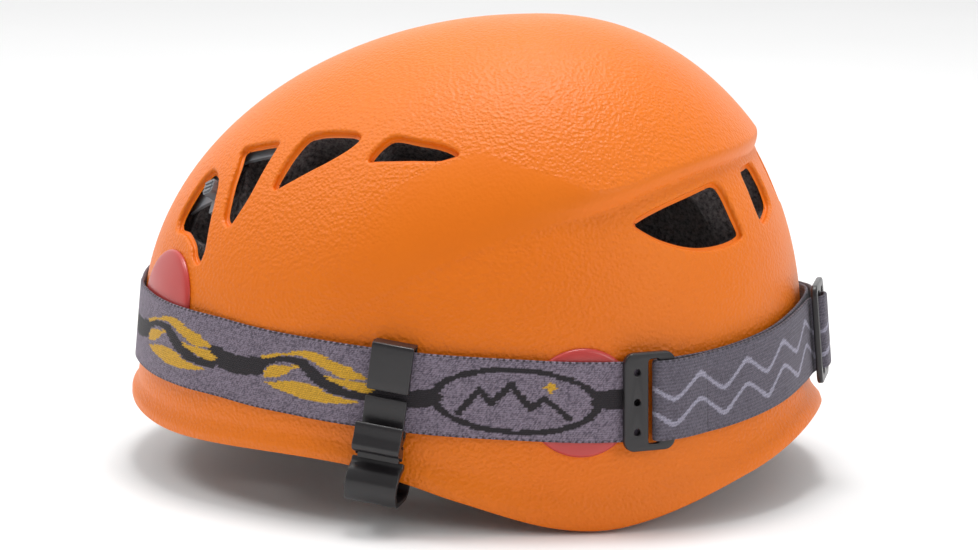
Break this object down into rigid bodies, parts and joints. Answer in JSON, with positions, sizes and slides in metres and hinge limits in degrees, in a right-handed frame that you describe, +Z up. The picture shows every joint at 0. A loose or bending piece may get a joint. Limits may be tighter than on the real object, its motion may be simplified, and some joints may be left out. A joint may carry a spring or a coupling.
{
  "type": "climbing helmet",
  "caption": "Vented hard-shell climbing helmet with foam liner, ratchet headband, rim clips and a fitted elastic headlamp strap.",
  "frame": {"origin": "middle of the helmet's outline, on the plane its lowest rim points touch", "axes": "-Y out of the brow (front), +X to the wearer's left, +Z up through the crown"},
  "size_m": [0.2534, 0.289, 0.1838],
  "materials": {
    "shell": "satin pebbled moulding",
    "foam": "moulded grey foam, speckled",
    "shutter": "satin",
    "clip_disc": "smooth, slightly see-through",
    "strap_front": "knitted elastic with woven figures",
    "strap_rear": "ribbed elastic with wavy lines",
    "black_plastic": "satin",
    "band_plastic": "satin",
    "pad": "padded cloth",
    "webbing": "woven",
    "gear_plastic": "satin"
  },
  "bodies": {
    "helmet": {"outer_shell": "shell", "foam_liner": "foam", "lamp_clip_front_left": "clip_disc", "lamp_clip_front_right": "clip_disc", "lamp_clip_rear_left": "clip_disc", "lamp_clip_rear_right": "clip_disc", "lamp_strap_front": "strap_front", "lamp_strap_rear": "strap_rear", "lamp_strap_tail": "strap_rear", "strap_buckle_left": "black_plastic", "strap_buckle_right": "black_plastic", "strap_slider_rear": "black_plastic", "headband_front": "band_plastic", "brow_pad": "pad", "headband_anchors": "band_plastic", "crown_pad_front": "pad", "crown_pad_rear": "pad", "cradle_housing": "band_plastic", "cradle_cover": "band_plastic", "nape_pad": "pad", "chin_web_left": "webbing", "chin_web_right": "webbing", "strap_divider_left": "black_plastic", "strap_divider_right": "black_plastic", "chin_web_upper_left": "webbing", "chin_web_upper_right": "webbing", "chin_socket": "black_plastic", "chin_plug": "black_plastic"},
    "shutter_left": {"vent_shutter_left": "shutter"},
    "shutter_right": {"vent_shutter_right": "shutter"},
    "rim_clip_left": {"rim_clip_left": "black_plastic"},
    "rim_clip_right": {"rim_clip_right": "black_plastic"},
    "knob": {"adjust_knob": "black_plastic", "knob_pinion": "gear_plastic"},
    "band_left": {"rack_band_left": "band_plastic"},
    "band_right": {"rack_band_right": "band_plastic"}
  },
  "joints": [
    {"name": "shutter_left_slide", "type": "hinge", "parent": "helmet", "child": "shutter_left", "pos_m": [-0.012, -0.0129, 0.04729], "axis": [0.5409, 0.7537, 0.3734], "range_deg": [0, 9.5]},
    {"name": "shutter_right_slide", "type": "hinge", "parent": "helmet", "child": "shutter_right", "pos_m": [0.012, -0.0129, 0.04729], "axis": [0.5409, -0.7537, -0.3734], "range_deg": [0, 9.5]},
    {"name": "rim_clip_left_shift", "type": "hinge", "parent": "helmet", "child": "rim_clip_left", "pos_m": [-0.12749, -0.00394, 0.04], "axis": [0, 0, 1], "range_deg": [-1, 1]},
    {"name": "rim_clip_right_shift", "type": "hinge", "parent": "helmet", "child": "rim_clip_right", "pos_m": [0.12749, -0.00394, 0.04], "axis": [0, 0, -1], "range_deg": [-1, 1]},
    {"name": "knob_spin", "type": "hinge", "parent": "helmet", "child": "knob", "pos_m": [0, 0.1016, 0.02529], "axis": [0, 1, 0], "range_deg": [0, 84]},
    {"name": "band_left_draw", "type": "slide", "parent": "helmet", "child": "band_left", "axis": [-1, 0, 0], "range_m": [0, 0.012]},
    {"name": "band_right_draw", "type": "slide", "parent": "helmet", "child": "band_right", "axis": [1, 0, 0], "range_m": [0, 0.012]}
  ],
  "couplings": [
    {"joint": "band_left_draw", "follows": "knob_spin", "m_per_rad": 0.008},
    {"joint": "band_right_draw", "follows": "knob_spin", "m_per_rad": 0.008}
  ]
}
